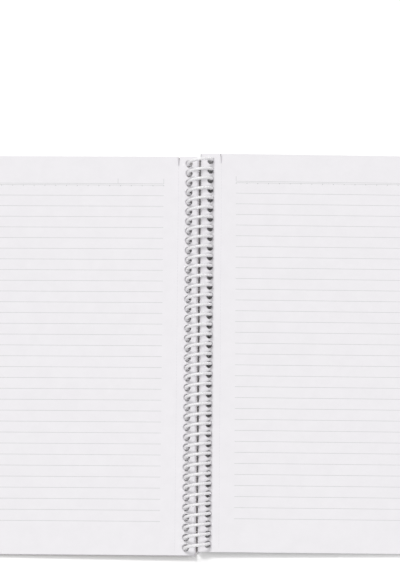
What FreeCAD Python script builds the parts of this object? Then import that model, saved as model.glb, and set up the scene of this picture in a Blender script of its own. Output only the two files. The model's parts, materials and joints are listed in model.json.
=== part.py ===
"""Open spiral notebook, lying open on a table.

Two halves, each a stack of punched leaves on its cover, hang on one round plastic coil.
X runs across the spread, Y runs along the coil towards the head of the page, Z is up.
The origin lies on the table, under the middle of the coil.
"""
import FreeCAD, Part
import math
import os

os.makedirs("parts", exist_ok=True)

# Leaf, punching and perforation
leaf_width = 182.0
leaf_height = 257.0
leaf_thickness = 0.1
leaves_a_side = 25
corner_radius = 4.0
hole_pitch = 6.35
least_hole_to_edge = 4.5
hole_diameter = 4.8
hole_to_spine_edge = 5.4
hole_sides = 8
tear_line_from_hole = 6.7
notch_depth = 6.1
notch_mouth = 1.6
notch_tip = 0.65

# Covers
cover_thickness = 0.5

# Coil
coil_radius = 7.7
wire_diameter = 2.0
wire_sides = 6
coil_end_angle = 275.0
crimp_radius = 2.2
crimp_tail = 0.7

# How the halves hang on the coil
axis_to_top_leaf = 2.0
hole_pull = 0.2
fore_edge_gap = 0.5

# Worked out from the sizes above
stack_thickness = leaves_a_side * leaf_thickness
stack_bottom = axis_to_top_leaf + stack_thickness
cover_bottom = stack_bottom + cover_thickness
cover_middle = stack_bottom + cover_thickness / 2.0
axis_height = coil_radius + wire_diameter / 2.0
hole_count = int((leaf_height - 2.0 * least_hole_to_edge) // hole_pitch) + 1
hole_row_length = (hole_count - 1) * hole_pitch

LEFT = -1
RIGHT = 1
AXIS = FreeCAD.Vector(0, 1, 0)
CENTRE = FreeCAD.Vector(0, 0, axis_height)


def hole_distance(depth):
    """Distance of the hole row from the coil's axis, for a leaf this far below the axis."""
    return math.sqrt(coil_radius ** 2 - depth ** 2) - hole_pull


def fore_edge_distance(depth):
    """Distance of the fore edge from the coil's axis, for a leaf this far below the axis."""
    return hole_distance(depth) - hole_to_spine_edge + leaf_width


def rest_tilt():
    """Angle at which a half slopes from the coil down to the table, in degrees."""
    reach = math.hypot(fore_edge_distance(cover_middle), cover_bottom)
    lean = math.asin(cover_bottom / reach)
    return math.degrees(math.asin(axis_height / reach) - lean)


def half_turn():
    """Angle by which one half turns on the coil from open to closed, in degrees."""
    lean_in = math.asin((axis_to_top_leaf - fore_edge_gap / 2.0) / fore_edge_distance(axis_to_top_leaf))
    return 90.0 + rest_tilt() + math.degrees(lean_in)


def hole_shift(depth):
    """How far a hole lies along the coil from the top of its turn, so that the wire has equal play."""
    angle_below_axis = math.degrees(math.asin(depth / coil_radius)) + rest_tilt()
    return hole_pitch * (angle_below_axis + 90.0 - half_turn() / 2.0) / 360.0


def coil_point(angle):
    """Point of the coil's centre line, 0 degrees at the left, 90 at the top, from the tail end."""
    turn = math.radians(angle)
    along = hole_pitch * (angle - 90.0) / 360.0 - hole_row_length / 2.0
    x = -coil_radius * math.cos(turn)
    z = coil_radius * math.sin(turn)
    return FreeCAD.Vector(x, along, z)


def polygon(sides, radius, centre, first, second):
    """Closed wire of a regular polygon, its corners on a circle in the plane of two unit vectors."""
    corners = []
    for number in range(sides):
        turn = 2.0 * math.pi * number / sides
        corners.append(centre + first * (radius * math.cos(turn)) + second * (radius * math.sin(turn)))
    return Part.makePolygon(corners + corners[:1])


def bend(first, middle, last):
    """Round edge through three points."""
    return Part.Arc(first, middle, last).toShape()


def outline(side, depth, notched):
    """Outline of a leaf or cover at this depth, with rounded fore corners and the tear-off notch."""
    spine = hole_distance(depth) - hole_to_spine_edge
    fore = fore_edge_distance(depth)
    middle = side * hole_shift(depth)
    head = middle + leaf_height / 2.0
    tail = middle - leaf_height / 2.0
    radius = corner_radius
    cut = radius * (1.0 - math.sqrt(0.5))

    def point(x, y):
        return FreeCAD.Vector(side * x, y, -depth)

    edges = []
    start = point(spine, head)
    if notched:
        tear = hole_distance(depth) + tear_line_from_hole
        notch = [point(spine, head), point(tear - notch_mouth / 2.0, head),
                 point(tear - notch_tip / 2.0, head - notch_depth),
                 point(tear + notch_tip / 2.0, head - notch_depth),
                 point(tear + notch_mouth / 2.0, head)]
        for first, last in zip(notch, notch[1:]):
            edges.append(Part.makeLine(first, last))
        start = notch[-1]
    edges.append(Part.makeLine(start, point(fore - radius, head)))
    edges.append(bend(point(fore - radius, head), point(fore - cut, head - cut), point(fore, head - radius)))
    edges.append(Part.makeLine(point(fore, head - radius), point(fore, tail + radius)))
    edges.append(bend(point(fore, tail + radius), point(fore - cut, tail + cut), point(fore - radius, tail)))
    edges.append(Part.makeLine(point(fore - radius, tail), point(spine, tail)))
    edges.append(Part.makeLine(point(spine, tail), point(spine, head)))
    return Part.Wire(edges)


def punched_face(side, depth, notched):
    """Face of a leaf or cover with its row of holes, each as wide across its flats as the punch."""
    wires = [outline(side, depth, notched)]
    corner_distance = hole_diameter / 2.0 / math.cos(math.pi / hole_sides)
    across = FreeCAD.Vector(math.cos(math.pi / hole_sides), math.sin(math.pi / hole_sides), 0)
    upward = FreeCAD.Vector(-across.y, across.x, 0)
    for number in range(hole_count):
        y = number * hole_pitch - hole_row_length / 2.0 + side * hole_shift(depth)
        centre = FreeCAD.Vector(side * hole_distance(depth), y, -depth)
        wires.append(polygon(hole_sides, corner_distance, centre, across, upward))
    return Part.Face(wires, "Part::FaceMakerBullseye")


def seat(shape, side):
    """Lift a half to the coil's height and let its fore edge down to the table."""
    shape.rotate(FreeCAD.Vector(0, 0, 0), AXIS, side * rest_tilt())
    shape.translate(CENTRE)
    return shape


def leaves(side):
    """Stack of leaves, fanned so that the holes of every leaf follow the curve of the wire."""
    fan_across = side * (hole_distance(stack_bottom) - hole_distance(axis_to_top_leaf))
    fan_along = side * (hole_shift(stack_bottom) - hole_shift(axis_to_top_leaf))
    face = punched_face(side, axis_to_top_leaf, True)
    return seat(face.extrude(FreeCAD.Vector(fan_across, fan_along, -stack_thickness)), side)


def cover(side):
    """Plain board cover under the leaves, punched square to its faces."""
    face = punched_face(side, cover_middle, False)
    face.translate(FreeCAD.Vector(0, 0, cover_thickness / 2.0))
    return seat(face.extrude(FreeCAD.Vector(0, 0, -cover_thickness)), side)


def crimp(end_angle, sense):
    """Bent end of the wire, which keeps the coil from screwing out of the holes."""
    start = coil_point(end_angle)
    radial = FreeCAD.Vector(start.x, 0, start.z).normalize()
    tangent = (coil_point(end_angle + sense * 0.01) - coil_point(end_angle - sense * 0.01)).normalize()
    inward = FreeCAD.Vector(0, -sense, 0)
    side = (inward - tangent * inward.dot(tangent)).normalize()
    halfway = math.radians(45.0)
    along = tangent * (crimp_radius * math.sin(halfway))
    middle = start + along + side * (crimp_radius * (1.0 - math.cos(halfway)))
    end = start + tangent * crimp_radius + side * crimp_radius
    path = Part.Wire([bend(start, middle, end), Part.makeLine(end, end + side * crimp_tail)])
    section = polygon(wire_sides, wire_diameter / 2.0, start, radial, tangent.cross(radial))
    return path.makePipeShell([section], True, False)


def coil():
    """The plastic coil: a round helix with one turn for each hole and a crimp at both ends."""
    first_angle = 180.0 - coil_end_angle
    last_angle = (hole_count - 1) * 360.0 + coil_end_angle
    length = (last_angle - first_angle) / 360.0 * hole_pitch
    helix = Part.makeLongHelix(hole_pitch, length, coil_radius, 0, False)
    helix.rotate(FreeCAD.Vector(0, 0, 0), FreeCAD.Vector(1, 0, 0), -90.0)
    helix.rotate(FreeCAD.Vector(0, 0, 0), AXIS, 180.0 + first_angle)
    start = coil_point(first_angle)
    helix.translate(FreeCAD.Vector(0, start.y, 0))
    radial = FreeCAD.Vector(start.x, 0, start.z).normalize()
    tangent = (coil_point(first_angle + 0.01) - coil_point(first_angle - 0.01)).normalize()
    section = polygon(wire_sides, wire_diameter / 2.0, start, radial, tangent.cross(radial))
    body = Part.Wire(helix.Edges).makePipeShell([section], True, True)
    whole = body.fuse([crimp(first_angle, -1), crimp(last_angle, 1)]).Solids[0]
    whole.translate(CENTRE)
    return whole


def main():
    """Build every piece and write one STEP file for each."""
    pieces = {
        "coil": coil(),
        "front_cover": cover(LEFT),
        "left_leaves": leaves(LEFT),
        "back_cover": cover(RIGHT),
        "right_leaves": leaves(RIGHT),
    }
    for name, shape in pieces.items():
        box = shape.BoundBox
        print(name, shape.ShapeType, "solids", len(shape.Solids), "valid", shape.isValid(),
              "volume", round(shape.Volume, 1), "z", round(box.ZMin, 3), round(box.ZMax, 3))
        shape.exportStep("parts/" + name + ".step")
    print("tilt", round(rest_tilt(), 4), "turn", round(half_turn(), 4), "axis height", axis_height)


main()
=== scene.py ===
"""Open spiral notebook: every leaf, both board covers, the printed ruling and the plastic coil.

Lengths are written in millimetres and turned to metres where a mesh is made. X runs across the
spread, Y runs along the coil to the head of the page, Z is up and the table is at zero.
"""
from __future__ import annotations

import json
import logging
import math
from dataclasses import dataclass, field
from enum import Enum
from typing import Any

import bpy
from mathutils import Matrix, Vector

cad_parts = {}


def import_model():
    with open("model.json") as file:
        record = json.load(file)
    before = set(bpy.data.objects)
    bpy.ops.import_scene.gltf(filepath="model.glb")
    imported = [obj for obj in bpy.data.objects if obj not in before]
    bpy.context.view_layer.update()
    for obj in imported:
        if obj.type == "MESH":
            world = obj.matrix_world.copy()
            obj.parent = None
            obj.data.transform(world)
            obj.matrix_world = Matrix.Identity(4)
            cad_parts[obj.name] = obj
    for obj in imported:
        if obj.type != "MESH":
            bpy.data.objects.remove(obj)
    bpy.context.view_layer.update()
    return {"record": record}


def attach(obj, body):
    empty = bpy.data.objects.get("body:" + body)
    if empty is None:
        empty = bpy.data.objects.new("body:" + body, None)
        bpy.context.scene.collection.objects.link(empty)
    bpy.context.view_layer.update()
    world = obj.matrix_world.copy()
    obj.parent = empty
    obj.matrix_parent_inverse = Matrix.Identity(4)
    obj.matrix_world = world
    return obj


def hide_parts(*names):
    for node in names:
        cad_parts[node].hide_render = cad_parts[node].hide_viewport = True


LOG = logging.getLogger("notebook")
MM = 0.001
WHITE = "FFFFFF"
MERGE_DISTANCE = 0.001
SHEET_EDGE_ANGLE = 30.0
ROUND_WIRE_ANGLE = 50.0


class Side(Enum):
    """The two halves of the open notebook, by the sign of their X."""

    LEFT = -1
    RIGHT = 1

    @property
    def body(self) -> str:
        """Name of the body that this half's pieces ride on."""
        return "front_half" if self is Side.LEFT else "back_half"

    @property
    def cover_node(self) -> str:
        """Name of the cover's node."""
        return "front_cover" if self is Side.LEFT else "back_cover"

    @property
    def leaves_node(self) -> str:
        """Name of the node of the leaves."""
        return "left_leaves" if self is Side.LEFT else "right_leaves"


def linear(hex_colour: str) -> tuple[float, float, float, float]:
    """Turn an sRGB hex colour to linear values.

    Args:
        hex_colour: Six hex digits, such as "F0EEF1".

    Returns:
        Linear red, green and blue, and an alpha of one.
    """
    values = []
    for start in (0, 2, 4):
        level = int(hex_colour[start:start + 2], 16) / 255.0
        values.append(level / 12.92 if level <= 0.04045 else ((level + 0.055) / 1.055) ** 2.4)
    return values[0], values[1], values[2], 1.0


def add_node(tree: bpy.types.NodeTree, kind: str, settings: dict[str, Any] | None = None,
             links: dict[str, bpy.types.NodeSocket] | None = None) -> bpy.types.Node:
    """Add one shader node with its settings and links.

    Args:
        tree: Node tree of the material or world.
        kind: Blender's type name of the node.
        settings: Values by the name of the input socket or of the node's own property.
        links: Output sockets by the name of the input that they feed.

    Returns:
        The new node.
    """
    node = tree.nodes.new(kind)
    for name, value in (settings or {}).items():
        if name in node.inputs:
            node.inputs[name].default_value = value
        else:
            setattr(node, name, value)
    for name, socket in (links or {}).items():
        tree.links.new(socket, node.inputs[name])
    return node


def new_material(name: str) -> bpy.types.Material:
    """Make an empty node material.

    Args:
        name: Name of the finish.

    Returns:
        The material, with no nodes in its tree.
    """
    material = bpy.data.materials.new(name)
    material.use_nodes = True
    material.node_tree.nodes.clear()
    return material


def frequency(size_mm: float) -> float:
    """Texture scale, per metre, at which one feature is this many millimetres wide."""
    return 1.0 / (size_mm * MM)


def seen_rays(tree: bpy.types.NodeTree) -> bpy.types.NodeSocket:
    """Make the factor that is one for camera, glossy and transmission rays, and zero for light.

    Args:
        tree: Node tree of the table's material or of the world.

    Returns:
        The output socket of that factor.
    """
    rays = add_node(tree, "ShaderNodeLightPath")
    seen = add_node(tree, "ShaderNodeMath", {"operation": "MAXIMUM"})
    tree.links.new(rays.outputs["Is Camera Ray"], seen.inputs[0])
    tree.links.new(rays.outputs["Is Glossy Ray"], seen.inputs[1])
    clear = add_node(tree, "ShaderNodeMath", {"operation": "MAXIMUM"})
    tree.links.new(seen.outputs["Value"], clear.inputs[0])
    tree.links.new(rays.outputs["Is Transmission Ray"], clear.inputs[1])
    return clear.outputs["Value"]


@dataclass(frozen=True)
class GrainedFinish:
    """Matt sheet material: a colour that varies softly over two sizes of mottle, with a fine tooth.

    Attributes:
        name: Name of the material.
        light: Lighter tone of the mottle, sRGB hex.
        dark: Darker tone of the mottle, sRGB hex.
        mottle_mm: Width of one patch of tone.
        tooth_mm: Width of one grain of the surface.
        tooth_height_mm: Height of the grain.
        roughness: Roughness of the surface.
        dark_up_to: Share of the noise up to which the tone is all dark.
        light_from: Share of the noise from which the tone is all light.
    """

    name: str
    light: str
    dark: str
    mottle_mm: float
    tooth_mm: float
    tooth_height_mm: float
    roughness: float
    dark_up_to: float = 0.35
    light_from: float = 0.65

    def build(self) -> bpy.types.Material:
        """Make the material."""
        material = new_material(self.name)
        tree = material.node_tree
        place = add_node(tree, "ShaderNodeTexCoord")
        mottle = add_node(tree, "ShaderNodeTexNoise",
                          {"Scale": frequency(self.mottle_mm), "Detail": 2.0, "Roughness": 0.6},
                          {"Vector": place.outputs["Object"]})
        tones = add_node(tree, "ShaderNodeValToRGB", None, {"Fac": mottle.outputs["Fac"]})
        tones.color_ramp.elements[0].position = self.dark_up_to
        tones.color_ramp.elements[0].color = linear(self.dark)
        tones.color_ramp.elements[1].position = self.light_from
        tones.color_ramp.elements[1].color = linear(self.light)
        tooth = add_node(tree, "ShaderNodeTexNoise",
                         {"Scale": frequency(self.tooth_mm), "Detail": 1.0, "Roughness": 0.55},
                         {"Vector": place.outputs["Object"]})
        bump = add_node(tree, "ShaderNodeBump",
                        {"Strength": 0.5, "Distance": self.tooth_height_mm * MM},
                        {"Height": tooth.outputs["Fac"]})
        surface = add_node(tree, "ShaderNodeBsdfPrincipled",
                           {"Roughness": self.roughness, "Specular IOR Level": 0.3, "IOR": 1.5},
                           {"Base Color": tones.outputs["Color"], "Normal": bump.outputs["Normal"]})
        add_node(tree, "ShaderNodeOutputMaterial", None, {"Surface": surface.outputs["BSDF"]})
        return material


@dataclass(frozen=True)
class FrostedPlastic:
    """Extruded clear PVC filament, frosted: milky body, soft highlight along the top of each turn.

    Attributes:
        name: Name of the material.
        body: Milky colour of the filament, sRGB hex.
        flow_mm: Width of the faint streaks that extrusion leaves.
    """

    name: str = "frosted_coil_plastic"
    body: str = "FAF9FB"
    flow_mm: float = 1.2

    def build(self) -> bpy.types.Material:
        """Make the material."""
        material = new_material(self.name)
        tree = material.node_tree
        place = add_node(tree, "ShaderNodeTexCoord")
        streaks = add_node(tree, "ShaderNodeTexNoise",
                           {"Scale": frequency(self.flow_mm), "Detail": 1.0},
                           {"Vector": place.outputs["Object"]})
        gloss = add_node(tree, "ShaderNodeMapRange",
                         {"To Min": 0.2, "To Max": 0.34}, {"Value": streaks.outputs["Fac"]})
        bump = add_node(tree, "ShaderNodeBump", {"Strength": 0.15, "Distance": 0.02 * MM},
                        {"Height": streaks.outputs["Fac"]})
        surface = add_node(tree, "ShaderNodeBsdfPrincipled",
                           {"Base Color": linear(self.body), "IOR": 1.53, "Transmission Weight": 0.12,
                            "Specular IOR Level": 0.5, "Coat Weight": 0.2, "Coat Roughness": 0.15},
                           {"Roughness": gloss.outputs["Result"], "Normal": bump.outputs["Normal"]})
        add_node(tree, "ShaderNodeOutputMaterial", None, {"Surface": surface.outputs["BSDF"]})
        return material


@dataclass(frozen=True)
class StudioFloor:
    """Matt pale table whose lit part the camera sees as white, while it keeps the soft shadow.

    Attributes:
        name: Name of the material.
        colour: Colour of the table, sRGB hex.
        seen_level: Level of the same colour for camera, glossy and transmission rays.
    """

    name: str = "pale_table"
    colour: str = "F2F2F2"
    seen_level: float = 1.3

    def build(self) -> bpy.types.Material:
        """Make the material."""
        material = new_material(self.name)
        tree = material.node_tree
        seen_colour = (self.seen_level, self.seen_level, self.seen_level, 1.0)
        plain = add_node(tree, "ShaderNodeBsdfDiffuse", {"Color": linear(self.colour)})
        bright = add_node(tree, "ShaderNodeBsdfDiffuse", {"Color": seen_colour})
        both = add_node(tree, "ShaderNodeMixShader", None, {"Fac": seen_rays(tree)})
        tree.links.new(plain.outputs["BSDF"], both.inputs[1])
        tree.links.new(bright.outputs["BSDF"], both.inputs[2])
        add_node(tree, "ShaderNodeOutputMaterial", None, {"Surface": both.outputs["Shader"]})
        return material


# Wood-free writing paper, calendered: matt, even and a cool white, with hardly any mottle
WRITING_PAPER = GrainedFinish(name="smooth_writing_paper", light="F1EFF2", dark="EFEDF0", mottle_mm=9.0,
                              tooth_mm=0.35, tooth_height_mm=0.012, roughness=0.82)
# Recycled board, pressed from mixed pulp: matt and brown-grey, with specks as wide as its fibre clumps
BROWN_GREY_BOARD = GrainedFinish(name="brown_grey_recycled_board", light="7B6C61", dark="6B5E54",
                                 mottle_mm=1.6, tooth_mm=0.5, tooth_height_mm=0.03, roughness=0.88)
# The same pressed board, nearly black, with the same faint specks: partly its own colour, partly painted
# shade that deepens the right holes and the spine gap
DARK_AND_SHADE_BOARD = GrainedFinish(name="dark_board_and_painted_shade", light="42403F", dark="373534", mottle_mm=1.6,
                           tooth_mm=0.5, tooth_height_mm=0.03, roughness=0.88)
# Offset ink, thinned to a pale grey: it soaks in, so it is flat and nearly as matt as the paper
RULING_INK = GrainedFinish(name="pale_grey_ruling_ink", light="D0D1D1", dark="C8CACA", mottle_mm=2.0,
                           tooth_mm=0.3, tooth_height_mm=0.004, roughness=0.7)
# Paper slit by a rule: rough fibre ends, drawn as flat strips a little darker than the sheet; the darkening
# is painted shade of the light that falls into each slit
PERFORATION = GrainedFinish(name="perforation_painted_shade", light="E4E2E6", dark="DDDBDF", mottle_mm=2.0,
                            tooth_mm=0.3, tooth_height_mm=0.01, roughness=0.9)


@dataclass
class Binding:
    """Sizes that both halves and the coil share, in millimetres, and where each leaf hangs.

    Attributes:
        axis_height: Height of the coil's axis over the table.
        leaf_width: Width of a leaf from its spine edge to its fore edge.
        leaf_height: Height of a leaf along the coil.
        leaf_thickness: Room that one leaf takes in the stack.
        leaves_a_side: Leaves in one half.
        corner_radius: Radius of the rounded fore corners.
        cover_thickness: Thickness of a cover's board.
        hole_pitch: Distance from one hole to the next, and the coil's pitch.
        hole_count: Holes in a leaf, and turns of the coil.
        hole_diameter: Diameter of a punched hole.
        hole_to_spine_edge: Distance of the hole row from the spine edge.
        hole_pull: How far a half is pulled in from the wire's own circle.
        tear_line_from_hole: Distance of the perforation from the hole row.
        notch_depth: Depth of the tear-off notch in the head edge.
        notch_mouth: Width of the notch at the edge.
        notch_tip: Width of the notch at its end.
        coil_radius: Radius of the coil to the middle of its wire.
        wire_diameter: Diameter of the wire.
        axis_to_top_leaf: Depth of the top leaf below the coil's axis.
        fore_edge_gap: Gap between the fore edges of the halves when closed.
    """

    axis_height: float
    leaf_width: float = 182.0
    leaf_height: float = 257.0
    leaf_thickness: float = 0.1
    leaves_a_side: int = 25
    corner_radius: float = 4.0
    cover_thickness: float = 0.5
    hole_pitch: float = 6.35
    hole_count: int = 40
    hole_diameter: float = 4.8
    hole_to_spine_edge: float = 5.4
    hole_pull: float = 0.2
    tear_line_from_hole: float = 6.7
    notch_depth: float = 6.1
    notch_mouth: float = 1.6
    notch_tip: float = 0.65
    coil_radius: float = 7.7
    wire_diameter: float = 2.0
    axis_to_top_leaf: float = 2.0
    fore_edge_gap: float = 0.5

    @property
    def stack_bottom(self) -> float:
        """Depth of the lowest leaf's underside below the coil's axis."""
        return self.axis_to_top_leaf + self.leaves_a_side * self.leaf_thickness

    @property
    def cover_middle(self) -> float:
        """Depth of the middle of the cover's board below the coil's axis."""
        return self.stack_bottom + self.cover_thickness / 2.0

    @property
    def row_length(self) -> float:
        """Distance from the first hole to the last."""
        return (self.hole_count - 1) * self.hole_pitch

    def hole_distance(self, depth: float) -> float:
        """Distance of the hole row from the coil's axis at this depth."""
        return math.sqrt(self.coil_radius ** 2 - depth ** 2) - self.hole_pull

    def fore_edge(self, depth: float) -> float:
        """Distance of the fore edge from the coil's axis at this depth."""
        return self.hole_distance(depth) - self.hole_to_spine_edge + self.leaf_width

    def tilt(self) -> float:
        """Angle, in radians, at which a half slopes down from the coil to the table."""
        bottom = self.stack_bottom + self.cover_thickness
        reach = math.hypot(self.fore_edge(self.cover_middle), bottom)
        return math.asin(self.axis_height / reach) - math.asin(bottom / reach)

    def half_turn(self) -> float:
        """Angle, in degrees, by which a half turns on the coil until the notebook is closed."""
        play = self.axis_to_top_leaf - self.fore_edge_gap / 2.0
        lean = math.asin(play / self.fore_edge(self.axis_to_top_leaf))
        return 90.0 + math.degrees(self.tilt() + lean)

    def hole_shift(self, depth: float) -> float:
        """How far a hole lies along the coil from the top of its turn of wire."""
        below = math.degrees(math.asin(depth / self.coil_radius) + self.tilt())
        return self.hole_pitch * (below + 90.0 - self.half_turn() / 2.0) / 360.0

    def seat(self, side: Side) -> Matrix:
        """Place of a half, from coordinates about the coil's axis to the table, in metres."""
        lift = Matrix.Translation((0.0, 0.0, self.axis_height * MM))
        return lift @ Matrix.Rotation(side.value * self.tilt(), 4, "Y")


def select_only(obj: bpy.types.Object) -> None:
    """Deselect everything, then select one object and make it active."""
    bpy.ops.object.select_all(action="DESELECT")
    obj.select_set(True)
    bpy.context.view_layer.objects.active = obj


def settle(obj: bpy.types.Object, place: Matrix, material: bpy.types.Material, smooth_angle: float) -> None:
    """Move an object's place into its mesh, close its seams and dress it.

    Args:
        obj: The finished piece, a mesh.
        place: Matrix from the piece's own coordinates to the scene.
        material: Its one material.
        smooth_angle: Greatest angle between two faces that still shade as one, in degrees.
    """
    select_only(obj)
    bpy.ops.object.transform_apply(location=True, rotation=True, scale=True)
    obj.data.transform(place)
    bpy.ops.object.mode_set(mode="EDIT")
    bpy.ops.mesh.select_all(action="SELECT")
    bpy.ops.mesh.remove_doubles(threshold=MERGE_DISTANCE * MM)
    bpy.ops.mesh.normals_make_consistent(inside=False)
    bpy.ops.object.mode_set(mode="OBJECT")
    bpy.ops.object.shade_smooth_by_angle(angle=math.radians(smooth_angle))
    obj.data.materials.clear()
    obj.data.materials.append(material)


def join(pieces: list[bpy.types.Object], name: str) -> bpy.types.Object:
    """Join several meshes into one object.

    Args:
        pieces: Objects to join; the first one stays.
        name: Name of the joined object.

    Returns:
        The joined object.
    """
    select_only(pieces[0])
    for piece in pieces[1:]:
        piece.select_set(True)
    bpy.ops.object.join()
    pieces[0].name = name
    return pieces[0]


def repeat(obj: bpy.types.Object, count: int, step: tuple[float, float, float]) -> None:
    """Repeat a mesh along a line with an array modifier, and apply it.

    Args:
        obj: The mesh to repeat.
        count: How many copies there are in all.
        step: Offset from one copy to the next, in metres.
    """
    select_only(obj)
    array = obj.modifiers.new("repeat", "ARRAY")
    array.use_relative_offset = False
    array.use_constant_offset = True
    array.constant_offset_displace = step
    array.count = count
    bpy.ops.object.modifier_apply(modifier=array.name)


@dataclass
class HalfBook:
    """One half of the notebook: its fan of leaves, its cover and the print on its top leaf.

    Attributes:
        side: Which half it is.
        binding: Sizes shared with the coil.
        sheet_share: Share of a leaf's thickness that is paper, the rest being the air between two.
        corner_steps: Straight pieces in each rounded corner.
        header_from_head: Distance of the header line from the head edge.
        header_gap: Distance between the header's two lines.
        first_rule_from_head: Distance of the first rule from the head edge.
        rule_spacing: Distance from one rule to the next, and from dot to dot.
        rule_count: Rules on a page.
        rule_width: Width of a printed line.
        rule_from_hole: Where the rules start, from the hole row.
        rule_from_fore_edge: Where the rules end, from the fore edge.
        dot_length: Length of a header dot along the coil.
        dot_width: Width of a header dot across the page.
        tick_height: Height of the ticks on the header line.
        date_field: Distance of the date field's tick from the header's right end.
        ink_height: Height of the ink over the paper.
        cut_length: Length of one slit of the perforation.
        cut_pitch: Distance from one slit to the next.
        cut_width: Width of a slit.
        pieces: The finished pieces of this half.
    """

    side: Side
    binding: Binding
    sheet_share: float = 0.88
    corner_steps: int = 6
    header_from_head: float = 18.0
    header_gap: float = 0.95
    first_rule_from_head: float = 25.9
    rule_spacing: float = 7.0
    rule_count: int = 31
    rule_width: float = 0.24
    rule_from_hole: float = 16.2
    rule_from_fore_edge: float = 9.0
    dot_length: float = 0.6
    dot_width: float = 0.5
    tick_height: float = 3.3
    date_field: float = 29.65
    ink_height: float = 0.012
    cut_length: float = 1.5
    cut_pitch: float = 2.1
    cut_width: float = 0.16
    pieces: list[bpy.types.Object] = field(default_factory=list)

    def outline(self, depth: float, notched: bool) -> list[tuple[float, float]]:
        """Corner points of a leaf or cover, the fore corners rounded.

        Args:
            depth: Depth of the sheet below the coil's axis.
            notched: Whether the tear-off notch is cut into the head edge.

        Returns:
            Points in the plane of the sheet, in order round it.
        """
        sizes = self.binding
        spine = sizes.hole_distance(depth) - sizes.hole_to_spine_edge
        fore = sizes.fore_edge(depth)
        middle = self.side.value * sizes.hole_shift(depth)
        head = middle + sizes.leaf_height / 2.0
        tail = middle - sizes.leaf_height / 2.0
        radius = sizes.corner_radius
        points = [(spine, tail), (spine, head)]
        if notched:
            tear = sizes.hole_distance(depth) + sizes.tear_line_from_hole
            points += [(tear - sizes.notch_mouth / 2.0, head),
                       (tear - sizes.notch_tip / 2.0, head - sizes.notch_depth),
                       (tear + sizes.notch_tip / 2.0, head - sizes.notch_depth),
                       (tear + sizes.notch_mouth / 2.0, head)]
        for centre_y, start in ((head - radius, 90.0), (tail + radius, 0.0)):
            for step in range(self.corner_steps + 1):
                turn = math.radians(start - 90.0 * step / self.corner_steps)
                points.append((fore - radius + radius * math.cos(turn), centre_y + radius * math.sin(turn)))
        return [(self.side.value * x, y) for x, y in points]

    def punched_sheet(self, name: str, depth: float, thickness: float, notched: bool) -> bpy.types.Object:
        """Draw a sheet with its row of round holes as a flat curve, and make it a mesh.

        Args:
            name: Name of the sheet.
            depth: Depth of the sheet's middle below the coil's axis.
            thickness: Thickness of the sheet.
            notched: Whether it has the tear-off notch.

        Returns:
            The sheet, about the coil's axis.
        """
        sizes = self.binding
        across = self.side.value * sizes.hole_distance(depth)
        first = self.side.value * sizes.hole_shift(depth) - sizes.row_length / 2.0
        bpy.ops.object.select_all(action="DESELECT")
        bpy.ops.curve.primitive_bezier_circle_add(radius=sizes.hole_diameter / 2.0 * MM,
                                                  location=(across * MM, first * MM, 0.0))
        obj = bpy.context.object
        obj.name = name
        curve = obj.data
        bpy.ops.object.mode_set(mode="EDIT")
        for number in range(1, sizes.hole_count):
            y = first + number * sizes.hole_pitch
            bpy.ops.curve.primitive_bezier_circle_add(radius=sizes.hole_diameter / 2.0 * MM,
                                                      location=(across * MM, y * MM, 0.0))
        bpy.ops.object.mode_set(mode="OBJECT")
        edge = curve.splines.new("POLY")
        points = self.outline(depth, notched)
        edge.points.add(len(points) - 1)
        for point, (x, y) in zip(edge.points, points):
            point.co = (x * MM - obj.location.x, y * MM - obj.location.y, 0.0, 1.0)
        edge.use_cyclic_u = True
        curve.dimensions = "2D"
        curve.fill_mode = "BOTH"
        curve.resolution_u = 5
        curve.extrude = thickness / 2.0 * MM
        select_only(obj)
        bpy.ops.object.convert(target="MESH")
        bpy.ops.object.transform_apply(location=True, rotation=True, scale=True)
        obj.data.transform(Matrix.Translation((0.0, 0.0, -depth * MM)))
        return obj

    def build_leaves(self) -> bpy.types.Object:
        """Make one leaf and fan it down the coil, each leaf's holes following the wire."""
        sizes = self.binding
        top, bottom = sizes.axis_to_top_leaf, sizes.stack_bottom
        thickness = sizes.leaf_thickness * self.sheet_share
        leaf = self.punched_sheet(self.side.leaves_node + "_paper", top + thickness / 2.0, thickness, True)
        steps = sizes.leaves_a_side
        fan_x = self.side.value * (sizes.hole_distance(bottom) - sizes.hole_distance(top)) / steps
        fan_y = self.side.value * (sizes.hole_shift(bottom) - sizes.hole_shift(top)) / steps
        repeat(leaf, steps, (fan_x * MM, fan_y * MM, -sizes.leaf_thickness * MM))
        settle(leaf, sizes.seat(self.side), WRITING_PAPER.build(), SHEET_EDGE_ANGLE)
        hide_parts(self.side.leaves_node)
        return leaf

    def build_cover(self) -> bpy.types.Object:
        """Make the board cover under the leaves."""
        sizes = self.binding
        board = self.punched_sheet(self.side.cover_node + "_board", sizes.cover_middle,
                                   sizes.cover_thickness, False)
        # The right cover takes the near-black board: partly its own colour, partly painted shade for the
        # right holes and the spine gap
        finish = BROWN_GREY_BOARD if self.side is Side.LEFT else DARK_AND_SHADE_BOARD
        settle(board, sizes.seat(self.side), finish.build(), SHEET_EDGE_ANGLE)
        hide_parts(self.side.cover_node)
        return board

    def bar(self, x: float, y: float, width: float, height: float) -> bpy.types.Object:
        """Lay one thin printed bar on the top leaf.

        Args:
            x: Middle of the bar across the page.
            y: Middle of the bar along the coil.
            width: Its size across the page.
            height: Its size along the coil.

        Returns:
            The bar, about the coil's axis.
        """
        z = -self.binding.axis_to_top_leaf + self.ink_height / 2.0
        bpy.ops.mesh.primitive_cube_add(size=1.0, location=(x * MM, y * MM, z * MM),
                                        scale=(width * MM, height * MM, self.ink_height * MM))
        bar = bpy.context.object
        select_only(bar)
        bpy.ops.object.transform_apply(location=True, rotation=True, scale=True)
        return bar

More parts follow.
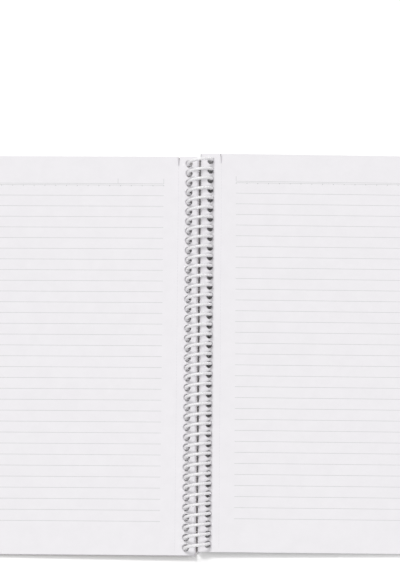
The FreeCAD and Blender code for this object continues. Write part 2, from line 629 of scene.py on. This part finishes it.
    def build_ruling(self) -> bpy.types.Object:
        """Print the rules, the double header line, its dots and the ticks of the date field."""
        sizes = self.binding
        depth = sizes.axis_to_top_leaf
        head = self.side.value * sizes.hole_shift(depth) + sizes.leaf_height / 2.0
        inner = self.side.value * (sizes.hole_distance(depth) + self.rule_from_hole)
        outer = self.side.value * (sizes.fore_edge(depth) - self.rule_from_fore_edge)
        start, end = min(inner, outer), max(inner, outer)
        middle, width = (start + end) / 2.0, end - start
        rules = self.bar(middle, head - self.first_rule_from_head, width, self.rule_width)
        repeat(rules, self.rule_count, (0.0, -self.rule_spacing * MM, 0.0))
        header = head - self.header_from_head
        upper = self.bar(middle, header, width, self.rule_width)
        lower = self.bar(middle, header - self.header_gap, width, self.rule_width)
        dot_y = header - self.header_gap - self.rule_width / 2.0 - self.dot_length / 2.0
        if self.side is Side.RIGHT:
            first_dot, dot_step = start, self.rule_spacing
        else:
            first_dot, dot_step = end, -self.rule_spacing
        dots = self.bar(first_dot, dot_y, self.dot_width, self.dot_length)
        repeat(dots, int(width // self.rule_spacing) + 1, (dot_step * MM, 0.0, 0.0))
        ticks = []
        for x in (start, end - self.date_field, end):
            ticks.append(self.bar(x, header + self.tick_height / 2.0, self.rule_width, self.tick_height))
        ruling = join([rules, upper, lower, dots] + ticks, self.side.leaves_node + "_ruling")
        settle(ruling, sizes.seat(self.side), RULING_INK.build(), SHEET_EDGE_ANGLE)
        return ruling

    def build_perforation(self) -> bpy.types.Object:
        """Lay the row of short slits along which a leaf tears off, from its notch to the tail, as flat strips
        of painted shade.
        """
        sizes = self.binding
        depth = sizes.axis_to_top_leaf
        head = self.side.value * sizes.hole_shift(depth) + sizes.leaf_height / 2.0
        x = self.side.value * (sizes.hole_distance(depth) + sizes.tear_line_from_hole)
        length = sizes.leaf_height - sizes.notch_depth - self.cut_pitch
        slits = self.bar(x, head - sizes.notch_depth - self.cut_pitch, self.cut_width, self.cut_length)
        repeat(slits, int(length // self.cut_pitch), (0.0, -self.cut_pitch * MM, 0.0))
        slits.name = self.side.leaves_node + "_perforation"
        settle(slits, sizes.seat(self.side), PERFORATION.build(), SHEET_EDGE_ANGLE)
        return slits

    def build(self) -> list[bpy.types.Object]:
        """Build all pieces of this half and let them ride on its body."""
        self.pieces = [self.build_leaves(), self.build_cover(), self.build_ruling(), self.build_perforation()]
        for piece in self.pieces:
            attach(piece, self.side.body)
        return self.pieces


@dataclass
class Coil:
    """The plastic coil: one round filament with a turn for each hole and a crimp at both ends.

    Attributes:
        binding: Sizes shared with the two halves.
        end_angle: Angle from the left of the last turn at which the helix gives way to the crimp.
        points_a_turn: Points of the centre line in one turn.
        crimp_radius: Radius of the bent end, in millimetres.
        crimp_tail: Straight stretch after the bend, in millimetres.
        crimp_steps: Points in the bend.
        round_resolution: Blender's bevel resolution of the wire's round section.
        tangent_step: Angle either side of a point between which its direction is taken, in degrees.
    """

    binding: Binding
    end_angle: float = 275.0
    points_a_turn: int = 40
    crimp_radius: float = 2.2
    crimp_tail: float = 0.7
    crimp_steps: int = 8
    round_resolution: int = 4
    tangent_step: float = 0.01

    def point(self, angle: float) -> Vector:
        """Point of the centre line, 0 degrees at the left of the first turn and 90 at its top."""
        turn = math.radians(angle)
        along = self.binding.hole_pitch * (angle - 90.0) / 360.0 - self.binding.row_length / 2.0
        return Vector((-self.binding.coil_radius * math.cos(turn), along,
                       self.binding.coil_radius * math.sin(turn)))

    def crimp(self, angle: float, sense: int) -> list[Vector]:
        """Points of the bent end, from the helix outwards.

        Args:
            angle: Angle at which the helix ends.
            sense: 1 at the head, -1 at the tail.

        Returns:
            Points of the bend and of its short tail.
        """
        start = self.point(angle)
        ahead = sense * self.tangent_step
        tangent = (self.point(angle + ahead) - self.point(angle - ahead)).normalized()
        inward = Vector((0.0, -sense, 0.0))
        side = (inward - tangent * inward.dot(tangent)).normalized()
        points = []
        for step in range(1, self.crimp_steps + 1):
            bend = math.radians(90.0 * step / self.crimp_steps)
            points.append(start + tangent * (self.crimp_radius * math.sin(bend))
                          + side * (self.crimp_radius * (1.0 - math.cos(bend))))
        points.append(points[-1] + side * self.crimp_tail)
        return points

    def build(self) -> bpy.types.Object:
        """Wind the filament and let it ride on the coil's body."""
        first = 180.0 - self.end_angle
        last = (self.binding.hole_count - 1) * 360.0 + self.end_angle
        count = int((last - first) / 360.0 * self.points_a_turn)
        path = [self.point(first + (last - first) * step / count) for step in range(count + 1)]
        path = self.crimp(first, -1)[::-1] + path + self.crimp(last, 1)
        bpy.ops.object.select_all(action="DESELECT")
        bpy.ops.curve.primitive_nurbs_path_add()
        obj = bpy.context.object
        obj.name = "coil_filament"
        curve = obj.data
        curve.splines.clear()
        spline = curve.splines.new("POLY")
        spline.points.add(len(path) - 1)
        for point, place in zip(spline.points, path):
            point.co = (*(place * MM), 1.0)
        curve.bevel_depth = self.binding.wire_diameter / 2.0 * MM
        curve.bevel_resolution = self.round_resolution
        curve.use_fill_caps = True
        select_only(obj)
        bpy.ops.object.convert(target="MESH")
        lift = Matrix.Translation((0.0, 0.0, self.binding.axis_height * MM))
        settle(obj, lift, FrostedPlastic().build(), ROUND_WIRE_ANGLE)
        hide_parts("coil")
        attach(obj, "coil")
        return obj


@dataclass
class Studio:
    """Pale table, soft light and the camera, almost straight above the spread.

    Attributes:
        scale: Millimetres a pixel of the 400 by 570 picture at the page.
        aim: Point of the page at the middle of the picture, in millimetres.
        distance: Distance of the camera from that point, in millimetres.
        lean: Angle by which the camera stands towards the tail of the page, in degrees.
        roll: Turn of the picture, in degrees.
        picture_height: Height of the picture, in pixels.
        sensor: Height of the camera's sensor, in millimetres.
        table_size: Side of the square table, in metres.
        sky: Strength of the even light from all round.
        sun: Strength of the one lamp.
        sun_angle: Width of that lamp as the page sees it, in degrees, which softens its shadows.
        sun_tilt: Turn of the lamp about X and about Y, in degrees.
        sun_place: Where the lamp stands, in metres; it lights the page alike from anywhere.
        nearest_seen: Nearest distance that the camera sees, in millimetres.
    """

    scale: float = 0.642
    aim: tuple[float, float, float] = (0.6, 43.2, 6.0)
    distance: float = 1500.0
    lean: float = 10.0
    roll: float = 0.5
    picture_height: float = 570.0
    sensor: float = 36.0
    table_size: float = 6.0
    sky: float = 0.64
    sun: float = 1.28
    sun_angle: float = 15.0
    sun_tilt: tuple[float, float] = (-28.0, -12.0)
    sun_place: tuple[float, float, float] = (-1.0, 1.0, 2.0)
    nearest_seen: float = 10.0

    def build_table(self) -> bpy.types.Object:
        """Lay the table under the notebook."""
        bpy.ops.object.select_all(action="DESELECT")
        bpy.ops.mesh.primitive_plane_add(size=self.table_size, location=(0.0, 0.0, 0.0))
        table = bpy.context.object
        table.name = "table"
        table.data.materials.append(StudioFloor().build())
        return table

    def build_light(self) -> None:
        """Light the room softly from all round, with one broad lamp from the upper left."""
        world = bpy.data.worlds.new("studio")
        bpy.context.scene.world = world
        world.use_nodes = True
        tree = world.node_tree
        tree.nodes.clear()
        ambient = add_node(tree, "ShaderNodeBackground", {"Color": linear(WHITE), "Strength": self.sky})
        white = add_node(tree, "ShaderNodeBackground", {"Color": linear(WHITE), "Strength": 1.0})
        mix = add_node(tree, "ShaderNodeMixShader", None, {"Fac": seen_rays(tree)})
        tree.links.new(ambient.outputs["Background"], mix.inputs[1])
        tree.links.new(white.outputs["Background"], mix.inputs[2])
        add_node(tree, "ShaderNodeOutputWorld", None, {"Surface": mix.outputs["Shader"]})
        tilt_x, tilt_y = self.sun_tilt
        bpy.ops.object.light_add(type="SUN", location=self.sun_place,
                                 rotation=(math.radians(tilt_x), math.radians(tilt_y), 0.0))
        lamp = bpy.context.object
        lamp.data.energy = self.sun
        lamp.data.angle = math.radians(self.sun_angle)

    def build_camera(self) -> None:
        """Set the camera over the page at the picture's scale."""
        lean = math.radians(self.lean)
        aim = Vector(self.aim) * MM
        offset = Vector((0.0, -math.sin(lean), math.cos(lean))) * self.distance * MM
        bpy.ops.object.camera_add(location=aim + offset)
        camera = bpy.context.object
        camera.data.sensor_fit = "VERTICAL"
        camera.data.sensor_height = self.sensor
        camera.data.lens = self.sensor * self.distance / (self.scale * self.picture_height)
        camera.data.clip_start = self.nearest_seen * MM
        turn = Matrix.Rotation(lean, 3, "X") @ Matrix.Rotation(math.radians(self.roll), 3, "Z")
        camera.rotation_euler = turn.to_euler()
        bpy.context.scene.camera = camera

    def build(self) -> None:
        """Build the table, the light and the camera."""
        self.build_table()
        self.build_light()
        self.build_camera()
        bpy.context.scene.view_settings.view_transform = "Standard"


def main() -> None:
    """Build the notebook on its frame."""
    logging.basicConfig(level=logging.INFO, format="%(name)s: %(message)s")
    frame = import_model()
    axis_height = frame["record"]["behaviour"]["joints"][0]["pos_m"][2] / MM
    binding = Binding(axis_height=axis_height)
    pieces = [Coil(binding).build()]
    for side in Side:
        pieces += HalfBook(side, binding).build()
    Studio().build()
    for piece in pieces:
        LOG.info("%s: %d faces", piece.name, len(piece.data.polygons))


if __name__ == "__main__":
    main()
